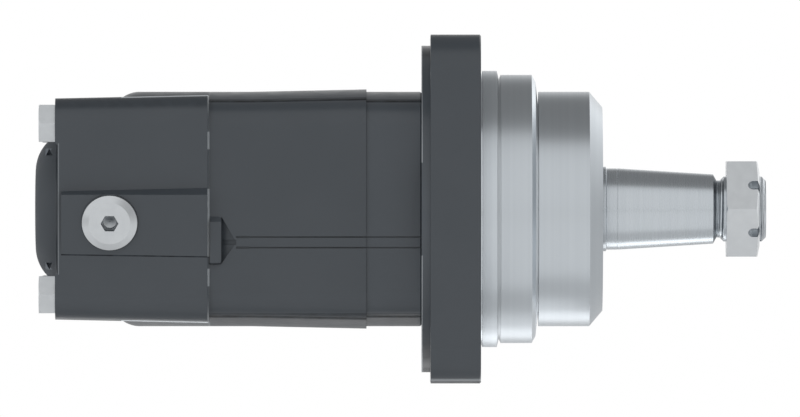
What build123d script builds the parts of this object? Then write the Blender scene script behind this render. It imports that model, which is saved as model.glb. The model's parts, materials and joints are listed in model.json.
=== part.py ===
from build123d import *
import os
from math import asin, atan2, cos, degrees, hypot, pi, radians, sin, sqrt, tan

# Orbital hydraulic motor, wheel mount. Millimetres.
# Origin: centre of the flange's front face on the shaft axis. +X towards the shaft nut, +Z up.

# Roller gear set, whose radii set the housings around it
roller_count = 7
roller_pitch_radius = 31.0
roller_radius = 6.3
eccentricity = 2.8
running_gap = 0.04
side_gap = 0.1
star_room = 0.3
arcs_per_lobe = 12

# Housing stack
ring_length = 21.5
valve_body_length = 61.2
rear_block_length = 59.7
plate_margin = 2.2
seal_land = 0.9
seal_wall = 2.8
box_side = 1.2
box_top_drop = 3.5
box_corner_radius = 9.8
swell_start = 16.2
swell_growth = 0.95
box_swell = 0.85
rear_step = 0.7
rear_draft = 1.3
barrel_end_start = 24.0
barrel_end_length = 7.8
edge_chamfer = 0.5

# Square flange and its mounting holes
hole_circle = 147.6
hole_radius = 7.15
hole_edge = 15.5
flange_thickness = 19.5
flange_corner_radius = 14.0
disc_margin = 2.85
disc_thickness = 3.5

# Front pilots and nose
pilot_length = 6.4
pilot_step = 1.575
pilot_relief = 0.7
pilot_groove_width = 1.5
pilot_groove_depth = 3.2
second_pilot_end = 20.0
second_pilot_chamfer = 1.5
neck_depth = 2.7
neck_width = 1.1
nose_length = 47.6
nose_wall = 11.8
nose_step = 6.6
nose_undercut = 6.0
nose_chamfer_length = 5.1
nose_chamfer_drop = 6.0

# Stack bolts
bolt_radius = 4.75
bolt_inset = 9.0
bolt_head_across_flats = 14.4
bolt_head_height = 6.4
bolt_head_chamfer = 1.0
bolt_engagement = 16.0
bolt_hole_end = 3.0

# Rear cover: dome, its cast pockets and the channel between the bolt seats
dome_height = 8.3
dome_flat_radius = 15.0
dome_arc_radius = 15.8
dome_arc_turn = 35
dome_pocket_height = 20.9
dome_pocket_size = 2.6
dome_pocket_depth = 6.0
channel_depth = 1.0
channel_side_gap = 0.3

# Drain pad and plug on the near side
pad_start = 2.4
pad_top = 8.2
pad_edge = 5.5
pad_bottom = -18.45
pad_taper_top = 1.3
pad_taper_bottom = 0.85
pad_rise = 4.2
plug_from_rear = 21.3
plug_height = -5.1
plug_head_radius = 10.75
plug_head_height = 3.6
plug_rim_width = 2.65
plug_rim_height = 1.5
plug_seat_depth = 0.4
plug_seat_inset = 1.5
plug_stem_radius = 5.5
plug_stem_length = 11.0
plug_socket = 6.0
plug_socket_depth = 3.8
plug_drill_radius = 2.7
plug_drill_depth = 2.2
plug_drill_point = 1.0
plug_seal_thickness = 1.0

# Near-side boss, pointed recess and parting strip
boss_length = 4.9
boss_top = -2.9
boss_bottom = -21.3
boss_rise = 1.9
boss_slope = 2.1
boss_corner_radius = 1.6
recess_length = 5.8
recess_depth = 1.6
recess_groove = 1.9
recess_groove_depth = 0.6
strip_top = -10.9
strip_bottom = -15.0
strip_groove = 0.5
strip_groove_depth = 0.9
strip_start_length = 5.0
strip_start_groove = 0.8

# Work ports on the far side
port_radius = 10.2
port_depth = 16.0
port_drill_radius = 7.0
port_drill_depth = 18.0
port_spotface_radius = 17.0
port_height = 15.0
port_a_from_rear = 19.4
port_b_from_rear = 41.4
passage_a_radius = 2.8
passage_b_radius = 3.4
passage_a_angle = 35
passage_b_angle = -50
drain_radius = 3.0

# Drive link and its splines
link_shank_radius = 8.4
spline_teeth = 12
spline_shoulder = 2.4
spline_depth = 2.0
spline_slot_width = 3.1
spline_backlash = 0.2
spline_root_gap = 0.7
spline_end_gap = 0.6
spline_room = 2.5
crown_half_length = 5.5
crown_flank_angle = 5.5
crown_tip_drop = 1.2
link_chamfer = 1.4
link_core_step = 1.0
front_crown_station = 12.0
rear_crown_inset = 8.0

# Wear plate, manifold plate and rotary valve
wear_plate_thickness = 3.0
manifold_thickness = 12.0
manifold_hole_radius = 3.0
manifold_hole_inset = 3.0
crank_pin_radius = 6.0
pin_room = 1.2
rotor_bush_wall = 2.5
rotor_bush_length = 5.2
valve_overlap = 1.0
valve_thickness = 13.4
valve_journal_radius = 10.0
valve_journal_length = 16.0
valve_bush_wall = 3.0
valve_chamber_gap = 3.0
valve_end_gap = 0.5
valve_port_radius = 2.0
kidney_depth = 6.0
kidney_land = 12
balance_ring_inset = 2.0
balance_ring_wall = 5.0
balance_ring_length = 9.0
balance_groove_depth = 2.0
balance_groove_width = 4.0
balance_groove_land = 1.5
spring_height = 3.0
spring_thickness = 0.9
spring_land = 1.0
dowel_radius = 2.5
dowel_length = 12.0
dowel_outset = 5.0

# Square-cut seals
seal_width = 2.6
seal_depth = 2.0
balance_seal_size = 1.9

# Shaft end
shaft_radius = 15.875
collar_step = 0.625
collar_length = 1.7
collar_chamfer = 0.3
straight_length = 4.3
taper_length = 37.3
taper_ratio = 8.0
taper_line = 0.3
thread_radius = 12.7
thread_depth = 1.55
neck_length = 2.8
neck_chamfer = 1.3
thread_length = 16.5
thread_chamfer = 1.6
key_width = 7.94
key_disc_radius = 12.7
key_height = 11.1
key_stand = 3.97
nut_across_flats = 37.2
nut_height = 13.0
nut_start = 5.1
nut_face_wall = 2.0
nut_chamfer_length = 1.4
nut_back_chamfer = 0.9
nut_slot_width = 3.8
nut_slot_depth = 4.6

# Shaft bearings and shaft seals
front_seat_step = 1.0
front_bearing_height = 16.5
front_bearing_width = 17.0
rear_seat_step = 2.0
rear_bearing_height = 17.5
rear_bearing_width = 19.0
bearing_angle = 13.0
bearing_roller_share = 0.25
bearing_length_share = 0.62
bearing_rib_share = 0.45
bearing_race_margin = 0.3
cage_skin = 0.7
cage_margin = 1.3
cage_gap = 0.12
bearing_shoulder = 5.0
bearing_relief = 0.6
shaft_flange_height = 5.5
shaft_flange_thickness = 4.6
lock_nut_height = 6.5
lock_nut_length = 6.0
lock_nut_notch = 4.0
lock_nut_notch_depth = 2.0
locking_relief = 0.4
carrier_length = 9.6
carrier_gap = 1.0
carrier_web = 1.2
carrier_web_gap = 1.5
retaining_ring_inset = 0.7
retaining_ring_thickness = 1.6
retaining_ring_depth = 1.3
retaining_ring_width = 4.5
retaining_ring_opening = 9.0
shaft_seal_height = 7.5
dust_seal_height = 6.0
dust_seal_length = 4.4
dust_seal_stand = 1.4
seal_rim = 3.0
seal_lip_thickness = 1.4

# General clearances
fit_gap = 0.05
bolt_gap = 0.45
link_gap = 0.4

# Radii that follow from the sizes above
plate_radius = roller_pitch_radius + roller_radius + plate_margin
seal_inner_radius = plate_radius + seal_land
barrel_radius = seal_inner_radius + seal_width + seal_wall
box_half_width = barrel_radius + box_side
box_half_height = barrel_radius - box_top_drop
hole_place = hole_circle / 2 / sqrt(2)
flange_width = 2 * (hole_place + hole_edge)
disc_radius = hole_circle / 2 - hole_radius - disc_margin
manifold_hole_circle = roller_pitch_radius - manifold_hole_inset
dowel_circle = roller_pitch_radius + dowel_outset
valve_radius = roller_pitch_radius + valve_overlap
balance_ring_outer = valve_radius - balance_ring_inset
balance_ring_inner = valve_journal_radius + valve_bush_wall + balance_ring_wall
balance_port_circle = balance_ring_outer - balance_groove_land - balance_groove_width / 2
spline_tip_radius = link_shank_radius + spline_shoulder
spline_root_radius = spline_tip_radius + spline_depth
link_room = link_shank_radius + eccentricity
collar_radius = shaft_radius + collar_step
front_bore_radius = collar_radius + front_seat_step
rear_bore_radius = front_bore_radius + rear_seat_step
front_cup_radius = front_bore_radius + front_bearing_height
rear_cup_radius = rear_bore_radius + rear_bearing_height
shaft_flange_radius = rear_bore_radius + shaft_flange_height
lock_nut_radius = front_bore_radius + lock_nut_height
shaft_seal_radius = collar_radius + shaft_seal_height
dust_seal_radius = collar_radius + dust_seal_height
nose_radius = front_cup_radius + nose_wall
second_pilot_radius = nose_radius + nose_step
pilot_radius = second_pilot_radius + pilot_step
thread_root_radius = thread_radius - thread_depth

# Stations along the shaft axis
ring_front = -(flange_thickness + disc_thickness)
ring_rear = ring_front - ring_length
valve_body_rear = ring_rear - valve_body_length
rear_face = valve_body_rear - rear_block_length
manifold_rear = ring_rear - manifold_thickness
valve_front = manifold_rear - side_gap
valve_rear = valve_front - valve_thickness
chamber_rear = valve_rear - valve_end_gap
journal_end = valve_rear - valve_journal_length
wear_plate_front = ring_front + wear_plate_thickness
shaft_rear = wear_plate_front + link_gap
rear_cone_back = shaft_rear + shaft_flange_thickness
rear_cup_front = rear_cone_back + rear_bearing_width
retaining_ring_front = nose_length - retaining_ring_inset
carrier_front = retaining_ring_front - retaining_ring_thickness
carrier_rear = carrier_front - carrier_length
web_front = carrier_front - dust_seal_length + dust_seal_stand
web_rear = web_front - carrier_web
lock_nut_front = carrier_rear - carrier_gap
front_cone_front = lock_nut_front - lock_nut_length
front_cup_rear = front_cone_front - front_bearing_width
collar_end = nose_length + collar_length
taper_start = collar_end + straight_length
taper_end = taper_start + taper_length
taper_end_radius = shaft_radius - taper_length / taper_ratio / 2
thread_start = taper_end + neck_chamfer + neck_length
shaft_end = thread_start + thread_length
nut_rear = taper_end + nut_start
rear_crown_station = ring_front - rear_crown_inset
bolt_y = box_half_width - bolt_inset
bolt_z = box_half_height - bolt_inset
channel_half_height = bolt_z - bolt_head_across_flats / 2 - channel_side_gap
roller_pitch_angle = 360 / roller_count


def x_plane(x):
    return Plane.YZ.offset(x)


def rod(x0, x1, radius, y=0.0, z=0.0):
    return extrude(x_plane(x0) * Pos(y, z) * Circle(radius), amount=x1 - x0)


def tube(x0, x1, outer, inner):
    return rod(x0, x1, outer) - rod(x0, x1, inner)


def turned(points):
    return revolve(Plane.XZ * make_face(Polyline(*points, close=True)), Axis.X)


def around(count, shape, first=0.0):
    return [shape.rotate(Axis.X, first + 360 / count * i) for i in range(count)]


def hexagon(x0, x1, across_flats):
    radius = across_flats / 2
    return extrude(x_plane(x0) * RegularPolygon(radius, 6, major_radius=False), amount=x1 - x0)


def near_side(x0, x1, points):
    outline = make_face(Polyline(*points, close=True))
    return extrude(x_plane(x0) * outline, amount=x1 - x0)


def box_section(x, growth=0.0):
    width = 2 * (box_half_width + growth)
    height = 2 * (box_half_height + growth)
    return x_plane(x) * RectangleRounded(width, height, box_corner_radius)


def bolt_holes(x0, x1, radius):
    return [rod(x0, x1, radius, y, z) for y in (-bolt_y, bolt_y) for z in (-bolt_z, bolt_z)]


def seal_groove(x, direction):
    return tube(min(x, x + direction * seal_depth), max(x, x + direction * seal_depth),
                seal_inner_radius + seal_width, seal_inner_radius)


# Flange housing: disc, square flange, pilots and nose in one casting

def flange_housing():
    flange_back = -flange_thickness
    square = RectangleRounded(flange_width, flange_width, flange_corner_radius)
    front_width = flange_width - 2 * edge_chamfer
    front_square = RectangleRounded(front_width, front_width, flange_corner_radius - edge_chamfer)
    flange = extrude(x_plane(flange_back) * square, amount=flange_thickness - edge_chamfer)
    flange += loft([x_plane(-edge_chamfer) * square, x_plane(0) * front_square])
    flange -= tube(-pilot_relief, 0, pilot_radius + pilot_relief, pilot_radius - pilot_relief)
    neck_start = second_pilot_end + second_pilot_chamfer
    nose_start = neck_start + neck_width
    body = flange + turned([
        (ring_front, 0), (ring_front, disc_radius), (flange_back, disc_radius),
        (flange_back, pilot_radius - pilot_relief), (pilot_relief, pilot_radius - pilot_relief),
        (pilot_relief, pilot_radius), (pilot_length, pilot_radius),
        (pilot_length + pilot_groove_width / 2, pilot_radius - pilot_groove_depth),
        (pilot_length + pilot_groove_width, second_pilot_radius), (second_pilot_end, second_pilot_radius),
        (neck_start, second_pilot_radius - neck_depth), (nose_start, nose_radius - nose_undercut),
        (nose_start, nose_radius),
        (nose_length - nose_chamfer_length, nose_radius),
        (nose_length, nose_radius - nose_chamfer_drop), (nose_length, 0)])
    body -= flange_bore()
    body -= bolt_holes(ring_front, ring_front + bolt_engagement + bolt_hole_end, bolt_radius + fit_gap)
    body -= [rod(flange_back, 0, hole_radius, y, z)
             for y in (-hole_place, hole_place) for z in (-hole_place, hole_place)]
    body -= seal_groove(ring_front, 1)
    return body


def flange_bore():
    rib_bore = front_cup_radius - bearing_shoulder
    ring_seat = front_cup_radius + retaining_ring_depth
    return turned([
        (ring_front, 0), (ring_front, plate_radius + fit_gap), (wear_plate_front, plate_radius + fit_gap),
        (wear_plate_front, rear_cup_radius), (rear_cup_front, rear_cup_radius), (rear_cup_front, rib_bore),
        (front_cup_rear, rib_bore), (front_cup_rear, front_cup_radius), (carrier_front, front_cup_radius),
        (carrier_front, ring_seat), (retaining_ring_front, ring_seat),
        (retaining_ring_front, front_cup_radius), (nose_length, front_cup_radius), (nose_length, 0)])


# Gear ring with its roller pockets

def strip_grooves(x0, x1, width=strip_groove):
    # Two fine grooves that bound the parting strip on the near side.
    face = -(box_half_width + box_swell + 1)
    floor = strip_groove_depth - box_half_width
    half = width / 2
    return [near_side(x0, x1, [(face, z - half), (floor, z - half), (floor, z + half), (face, z + half)])
            for z in (strip_top, strip_bottom)]


def gear_ring():
    chamfer_at = ring_front - edge_chamfer
    body = extrude(box_section(ring_rear), amount=ring_length - edge_chamfer)
    body += loft([box_section(chamfer_at), x_plane(ring_front) * RectangleRounded(
        2 * (box_half_width - edge_chamfer), 2 * (box_half_height - edge_chamfer),
        box_corner_radius - edge_chamfer)])
    body += turned([(ring_rear, 0), (ring_rear, barrel_radius), (chamfer_at, barrel_radius),
                    (ring_front, barrel_radius - edge_chamfer), (ring_front, 0)])
    star_reach = roller_pitch_radius - roller_radius + 2 * eccentricity
    body -= rod(ring_rear, ring_front, star_reach + star_room)
    pocket = rod(ring_rear, ring_front, roller_radius + running_gap, y=roller_pitch_radius)
    body -= around(roller_count, pocket)
    body -= bolt_holes(ring_rear, ring_front, bolt_radius + bolt_gap)
    body -= dowels(fit_gap)
    body -= strip_grooves(ring_rear, ring_front)
    return body


def dowels(gap=0.0):
    start = ring_rear - dowel_length / 2
    pins = []
    for chamber in (0, roller_count // 2):
        pin = rod(start, start + dowel_length, dowel_radius + gap, y=dowel_circle)
        pins.append(pin.rotate(Axis.X, (chamber + 0.5) * roller_pitch_angle))
    return pins


def roller(index):
    blank = rod(ring_rear + side_gap, ring_front - side_gap, roller_radius, y=roller_pitch_radius)
    return blank.rotate(Axis.X, index * roller_pitch_angle)


def star_point(t):
    # Curve that stays tangent to every roller while the star orbits inside them.
    reach = roller_radius + running_gap
    turn = atan2(sin((1 - roller_count) * t),
                 roller_pitch_radius / (eccentricity * roller_count) - cos((1 - roller_count) * t))
    y = roller_pitch_radius * cos(t) - reach * cos(t + turn) - eccentricity * cos(roller_count * t)
    z = -roller_pitch_radius * sin(t) + reach * sin(t + turn) + eccentricity * sin(roller_count * t)
    return (y + eccentricity, z)


def rotor():
    count = arcs_per_lobe * (roller_count - 1)
    step = 2 * pi / count
    outline = [ThreePointArc(star_point(step * i), star_point(step * (i + 0.5)), star_point(step * (i + 1)))
               for i in range(count)]
    front = ring_front - side_gap
    rear = ring_rear + side_gap
    body = extrude(x_plane(rear) * make_face(outline), amount=front - rear)
    spline_rear = rear + rotor_bush_length + spline_end_gap
    socket = spline_socket(spline_rear, front).moved(Location((0, eccentricity, 0)))
    body -= socket
    return body - rod(rear, spline_rear, crank_pin_radius + running_gap + rotor_bush_wall, y=eccentricity)


def rotor_bush():
    rear = ring_rear + side_gap
    blank = tube(rear, rear + rotor_bush_length, crank_pin_radius + running_gap + rotor_bush_wall,
                 crank_pin_radius + running_gap)
    return blank.moved(Location((0, eccentricity, 0)))


# Splines and drive link

def spline_socket(x0, x1):
    # Space of an internal spline: its bore and the slots between its teeth.
    bore = rod(x0, x1, spline_tip_radius)
    half = spline_slot_width / 2
    slot = extrude(x_plane(x0) * make_face(Polyline(
        (0, -half), (spline_root_radius, -half), (spline_root_radius, half), (0, half), close=True)),
        amount=x1 - x0)
    return bore + around(spline_teeth, slot)


def crowned_end(x):
    # External spline whose teeth thin towards both ends, so that it can tilt in its socket.
    reach = crown_half_length
    tip = spline_root_radius - spline_backlash
    root = spline_tip_radius - spline_root_gap
    slope = reach * tan(radians(crown_flank_angle))
    end_tip = tip - crown_tip_drop * slope
    blank = turned([(x - reach, 0), (x - reach, end_tip), (x - reach / 3, tip), (x + reach / 3, tip),
                    (x + reach, end_tip), (x + reach, 0)])
    half = (spline_slot_width - spline_backlash) / 2
    tooth_outline = Polyline((x - reach, slope - half), (x, -half), (x + reach, slope - half),
                             (x + reach, half - slope), (x, half), (x - reach, half - slope), close=True)
    tooth = extrude(Plane.XY * make_face(tooth_outline), amount=tip)
    teeth = Part() + around(spline_teeth, tooth, first=90)
    return rod(x - reach, x + reach, root) + (teeth & blank)


def link_length():
    return hypot(front_crown_station - rear_crown_station, eccentricity)


def drive_link():
    # Built along the shaft axis with its front crown at the origin, then tilted about that crown.
    length = link_length()
    reach = crown_half_length
    core = spline_tip_radius - link_core_step
    end = reach + link_chamfer
    body = turned([
        (end, 0), (end, core - link_chamfer), (reach, core), (-reach, core),
        (-end, link_shank_radius), (end - length, link_shank_radius), (reach - length, core),
        (-reach - length, core), (-end - length, core - link_chamfer), (-end - length, 0)])
    body += crowned_end(0)
    body += crowned_end(-length)
    tilt = degrees(asin(eccentricity / length))
    return body.rotate(Axis.Z, -tilt).moved(Location((front_crown_station, 0, 0)))


# Valve housing and the parts in it

def valve_housing():
    swell_rear = valve_body_rear + swell_start
    body = extrude(box_section(valve_body_rear), amount=swell_start)
    body += loft([box_section(swell_rear), box_section(ring_rear, box_swell)])
    body += turned([(valve_body_rear, 0), (valve_body_rear, barrel_radius), (swell_rear, barrel_radius),
                    (ring_rear, barrel_radius + swell_growth), (ring_rear, 0)])
    body += near_boss()
    body -= arrow_recess()
    strip_start = valve_body_rear + boss_length + recess_length
    wide_end = strip_start + strip_start_length
    body -= strip_grooves(strip_start, wide_end, strip_start_groove)
    body -= strip_grooves(wide_end, ring_rear)
    body -= valve_housing_bore()
    body -= bolt_holes(valve_body_rear, ring_rear, bolt_radius + bolt_gap)
    body -= seal_groove(ring_rear, -1)
    body -= seal_groove(valve_body_rear, 1)
    body -= passages(valve_body_rear)
    return body


def near_boss():
    # Low boss beside the rear joint; its upper side slopes back to the near face.
    rear = valve_body_rear + edge_chamfer
    face = -box_half_width
    top = face - boss_rise
    outline = [(face + 1, boss_top), (face, boss_top), (top, boss_top - boss_slope), (top, boss_bottom),
               (face + 1, boss_bottom)]
    boss = near_side(rear, valve_body_rear + boss_length, outline)
    corners = boss.edges().filter_by(Axis.Y).group_by(Axis.X)[-1]
    return fillet(corners, boss_corner_radius)


def arrow_recess():
    # Pointed recess ahead of the boss; its floor rises to the face where the parting strip starts,
    # and a groove follows the floor along its middle.
    rear = valve_body_rear + boss_length
    tip = rear + recess_length
    face = -box_half_width
    floor = face + recess_depth
    middle = (strip_top + strip_bottom) / 2
    triangle = extrude(Plane.XZ.offset(-floor) * make_face(
        Polyline((rear, boss_top), (tip, middle), (rear, boss_bottom), close=True)), amount=2 * recess_depth)

    def ramp(extra, bottom, top):
        side = make_face(Polyline((rear, floor + extra), (tip, face + extra - fit_gap),
                                  (tip, face - recess_depth), (rear, face - recess_depth), close=True))
        return extrude(Plane.XY.offset(bottom) * side, amount=top - bottom)

    half = recess_groove / 2
    groove = ramp(recess_groove_depth, middle - half, middle + half)
    return (triangle & ramp(0, boss_bottom, boss_top)) + groove


def valve_housing_bore():
    bush_radius = valve_journal_radius + running_gap + valve_bush_wall
    chamber_radius = valve_radius + valve_chamber_gap
    pocket_rear = chamber_rear - balance_ring_length - spring_height
    journal_rear = journal_end - valve_end_gap
    bore = turned([
        (ring_rear, 0), (ring_rear, plate_radius + fit_gap), (manifold_rear, plate_radius + fit_gap),
        (manifold_rear, chamber_radius), (chamber_rear, chamber_radius), (chamber_rear, bush_radius),
        (journal_rear, bush_radius), (journal_rear, 0)])
    return bore + tube(pocket_rear, chamber_rear, balance_ring_outer, balance_ring_inner)


def passage_places():
    # Cross-section places of the passages that feed the outer gallery and the balance ring.
    outer = (valve_radius + valve_chamber_gap / 2, passage_a_angle)
    inner = ((balance_ring_inner + balance_ring_outer) / 2, passage_b_angle)
    return {name: (circle * cos(radians(angle)), circle * sin(radians(angle)))
            for name, (circle, angle) in (("a", outer), ("b", inner))}


def passages(x0):
    places = passage_places()
    return [rod(x0, chamber_rear, passage_a_radius, *places["a"]),
            rod(x0, chamber_rear - balance_ring_length, passage_b_radius, *places["b"]),
            rod(x0, journal_end, drain_radius)]


def manifold_plate():
    body = rod(manifold_rear, ring_rear, plate_radius)
    body -= rod(manifold_rear, ring_rear, crank_pin_radius + eccentricity + pin_room)
    hole = rod(manifold_rear, ring_rear, manifold_hole_radius, y=manifold_hole_circle)
    body -= around(roller_count, hole, first=roller_pitch_angle / 2)
    return body - dowels(fit_gap)


def kidney(front, rear, start, end):
    inner = manifold_hole_circle - manifold_hole_radius
    outer = manifold_hole_circle + manifold_hole_radius
    ring = tube(rear, front, outer, inner)
    wedge_reach = 3 * valve_radius
    points = [(0, 0)] + [(wedge_reach * cos(radians(a)), wedge_reach * sin(radians(a)))
                         for a in (start, (start + end) / 2, end)]
    return ring & near_side(rear, front, points)


def rotary_valve():
    pin_front = ring_rear + rotor_bush_length
    body = rod(valve_rear, valve_front, valve_radius)
    body += rod(journal_end, valve_rear, valve_journal_radius)
    body += rod(valve_front, pin_front, crank_pin_radius, y=eccentricity)
    floor = valve_front - kidney_depth
    body -= kidney(valve_front, floor, kidney_land, 180 - kidney_land)
    body -= kidney(valve_front, floor, 180 + kidney_land, 360 - kidney_land)
    slot_blank = extrude(Plane.XY * Pos((floor + valve_front) / 2, 0) * Circle(valve_port_radius),
                         amount=valve_radius + 1)
    rim_slot = slot_blank & tube(floor, valve_front, valve_radius + 1, manifold_hole_circle)
    port = rod(valve_rear, floor, valve_port_radius, y=balance_port_circle)
    for turn in (-30, 0, 30):
        body -= rim_slot.rotate(Axis.X, turn)
        body -= port.rotate(Axis.X, turn - 90)
    return body


def valve_bush():
    inner = valve_journal_radius + running_gap
    return tube(journal_end, chamber_rear - valve_end_gap, inner + valve_bush_wall, inner)


def balance_ring():
    front = valve_rear - side_gap
    rear = front - balance_ring_length
    body = tube(rear, front, balance_ring_outer - fit_gap, balance_ring_inner + fit_gap)
    groove_outer = balance_ring_outer - balance_groove_land
    body -= tube(front - balance_groove_depth, front, groove_outer, groove_outer - balance_groove_width)
    port = rod(rear, front, valve_port_radius, y=balance_port_circle)
    body -= around(roller_count - 1, port)
    return body - balance_seals()


def balance_seals():
    middle = valve_rear - side_gap - balance_ring_length / 2
    half = balance_seal_size / 2
    return [tube(middle - half, middle + half, outer, outer - balance_seal_size + fit_gap)
            for outer in (balance_ring_outer - fit_gap, balance_ring_inner + balance_seal_size)]


def balance_spring():
    # Coned disc spring between the pocket floor and the balance ring.
    front = valve_rear - side_gap - balance_ring_length - fit_gap
    rear = chamber_rear - balance_ring_length - spring_height
    outer = balance_ring_outer - spring_land
    inner = balance_ring_inner + spring_land
    return turned([(front, outer), (front - spring_thickness, outer), (rear, inner),
                   (rear + spring_thickness, inner)])


# Rear housing: block, dome, drain pad, barrel end and ports

def rear_half(x):
    # Growth of the block's section over the box section at a station.
    return rear_step + rear_draft * (x - rear_face) / rear_block_length


def rear_housing():
    front = valve_body_rear
    chamfer_at = front - edge_chamfer
    growth = rear_half(chamfer_at)
    body = loft([box_section(rear_face, rear_half(rear_face)), box_section(chamfer_at, growth)])
    body += loft([box_section(chamfer_at, growth), x_plane(front) * RectangleRounded(
        2 * (box_half_width + growth - edge_chamfer), 2 * (box_half_height + growth - edge_chamfer),
        box_corner_radius - edge_chamfer)])
    body += barrel_end()
    body -= seat_channel()
    body += dome()
    body += drain_pad()
    body -= bolt_holes(rear_face, front, bolt_radius + bolt_gap)
    body -= plug_hole()
    body -= work_ports()
    body -= rod(rear_face + plug_from_rear - drain_radius, front, drain_radius)
    return body


def seat_channel():
    # Shallow channel across the rear face that leaves the bolt seats standing.
    floor = rear_face + channel_depth
    back = rear_face - channel_depth
    high = channel_half_height
    low = high - channel_depth
    outline = Polyline((back, high), (rear_face, high), (floor, low), (floor, -low), (rear_face, -high),
                       (back, -high), close=True)
    reach = 2 * box_half_width
    return extrude(Plane.XZ.offset(-reach) * make_face(outline), amount=2 * reach)


def barrel_end():
    rear = rear_face + barrel_end_start
    full = rear + barrel_end_length
    bulge = ((rear + full) / 2, box_half_height + 0.75 * (barrel_radius - box_half_height))
    round_end = ThreePointArc((rear, box_half_height), bulge, (full, barrel_radius))
    top = Line((full, barrel_radius), (valve_body_rear, barrel_radius))
    front = Line((valve_body_rear, barrel_radius), (valve_body_rear, 0))
    axis = Line((valve_body_rear, 0), (rear, 0))
    back = Line((rear, 0), (rear, box_half_height))
    return revolve(Plane.XZ * make_face([round_end, top, front, axis, back]), Axis.X)


def dome():
    tip = rear_face - dome_height
    base = rear_face + channel_depth + 1
    centre_x = tip + dome_arc_radius
    rim = dome_flat_radius + sqrt(dome_arc_radius ** 2 - (centre_x - rear_face) ** 2)
    turn = radians(dome_arc_turn)
    middle = (centre_x - dome_arc_radius * cos(turn), dome_flat_radius + dome_arc_radius * sin(turn))
    flat = Line((tip, 0), (tip, dome_flat_radius))
    arc = ThreePointArc((tip, dome_flat_radius), middle, (rear_face, rim))
    inside = Polyline((rear_face, rim), (base, rim), (base, 0), (tip, 0))
    body = revolve(Plane.XZ * make_face([flat, arc, inside]), Axis.X)
    return body - dome_pockets(rim)


def dome_pockets(rim):
    # Four small three-cornered cast pockets on the dome's side, pointing away from the axis.
    half = dome_pocket_size / 2
    middle = rear_face - dome_height / 3
    outline = make_face(Polyline((middle - half, dome_pocket_height), (middle + half, dome_pocket_height),
                                 (middle, dome_pocket_height + dome_pocket_size), close=True))
    place = sqrt(rim ** 2 - (dome_pocket_height + half) ** 2) - dome_pocket_depth
    upper = extrude(Plane.XZ.offset(place) * outline, amount=rim - place)
    lower = upper.mirror(Plane.XY)
    return [upper, lower, upper.mirror(Plane.XZ), lower.mirror(Plane.XZ)]


def pad_section(x, top, bottom):
    face = -(box_half_width + rear_half(x))
    return x_plane(x) * make_face(Polyline(
        (face + 2, top), (face, top), (face - pad_rise, pad_edge), (face, bottom), (face + 2, bottom),
        close=True))


def drain_pad():
    rear = rear_face + pad_start
    front = valve_body_rear - edge_chamfer
    return loft([pad_section(rear, pad_top - pad_taper_top, pad_bottom + pad_taper_bottom),
                 pad_section(front, pad_top, pad_bottom)], ruled=True)


def plug_plane(depth=0.0):
    # Seat cut into the drain pad, facing outwards and slightly down; depth moves it into the housing.
    x = rear_face + plug_from_rear
    face = plug_seat_depth - box_half_width - rear_half(x)
    slope = atan2(pad_rise, pad_edge - pad_bottom)
    drop = plug_height - pad_bottom
    y = face - drop * tan(slope)
    out = Vector(0, -cos(slope), -sin(slope))
    origin = Vector(x, y, plug_height) - out * depth
    return Plane(origin, x_dir=(1, 0, 0), z_dir=out)


def plug_hole():
    seat = plug_plane()
    recess = extrude(seat * Circle(plug_head_radius - plug_seat_inset), amount=fit_gap - plug_seal_thickness)
    thread = extrude(seat * Circle(plug_stem_radius + fit_gap), amount=-(plug_stem_length + bolt_hole_end))
    drill = extrude(seat * Circle(drain_radius), amount=-(box_half_width + drain_radius))
    above = extrude(seat * Circle(plug_head_radius + bolt_gap), amount=2 * plug_head_height)
    return recess + thread + drill + above


def plug_profile():
    top = plug_head_height
    return make_face(Polyline(
        (0, top), (0, -plug_stem_length), (plug_stem_radius - 1, -plug_stem_length),
        (plug_stem_radius, 1 - plug_stem_length), (plug_stem_radius, 0), (plug_head_radius, 0),
        (plug_head_radius, top - plug_rim_height), (plug_head_radius - plug_rim_width, top), close=True))


def work_ports():
    cuts = []
    places = passage_places()
    face = box_half_width + rear_step
    for name, from_rear, side in (("a", port_a_from_rear, 1), ("b", port_b_from_rear, -1)):
        x = rear_face + from_rear
        mouth = Plane(origin=(x, face, side * port_height), x_dir=(1, 0, 0), z_dir=(0, 1, 0))
        cuts.append(extrude(mouth * Circle(port_spotface_radius), amount=2 * (rear_step + rear_draft)))
        cuts.append(extrude(mouth * Circle(port_radius), amount=-port_depth))
        cuts.append(extrude(mouth * Circle(port_drill_radius), amount=-(port_depth + port_drill_depth)))
        radius = {"a": passage_a_radius, "b": passage_b_radius}[name]
        cuts.append(rod(x, valve_body_rear, radius, *places[name]))
    return cuts


# Fasteners and seals

def housing_bolts():
    end = ring_front + bolt_engagement
    head_rear = rear_face - bolt_head_height
    corner = bolt_head_across_flats / 2 / cos(radians(30))
    bolts = []
    for y in (-bolt_y, bolt_y):
        for z in (-bolt_z, bolt_z):
            head = hexagon(head_rear, rear_face, bolt_head_across_flats)
            head &= turned([(head_rear, 0), (head_rear, corner - bolt_head_chamfer),
                            (head_rear + edge_chamfer, corner), (rear_face, corner), (rear_face, 0)])
            shank = turned([(rear_face, 0), (rear_face, bolt_radius), (end - 1, bolt_radius),
                            (end, bolt_radius - 1), (end, 0)])
            bolts.append((head + shank).moved(Location((0, y, z))))
    return Compound(children=bolts)


# Output shaft, key and nut

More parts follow.
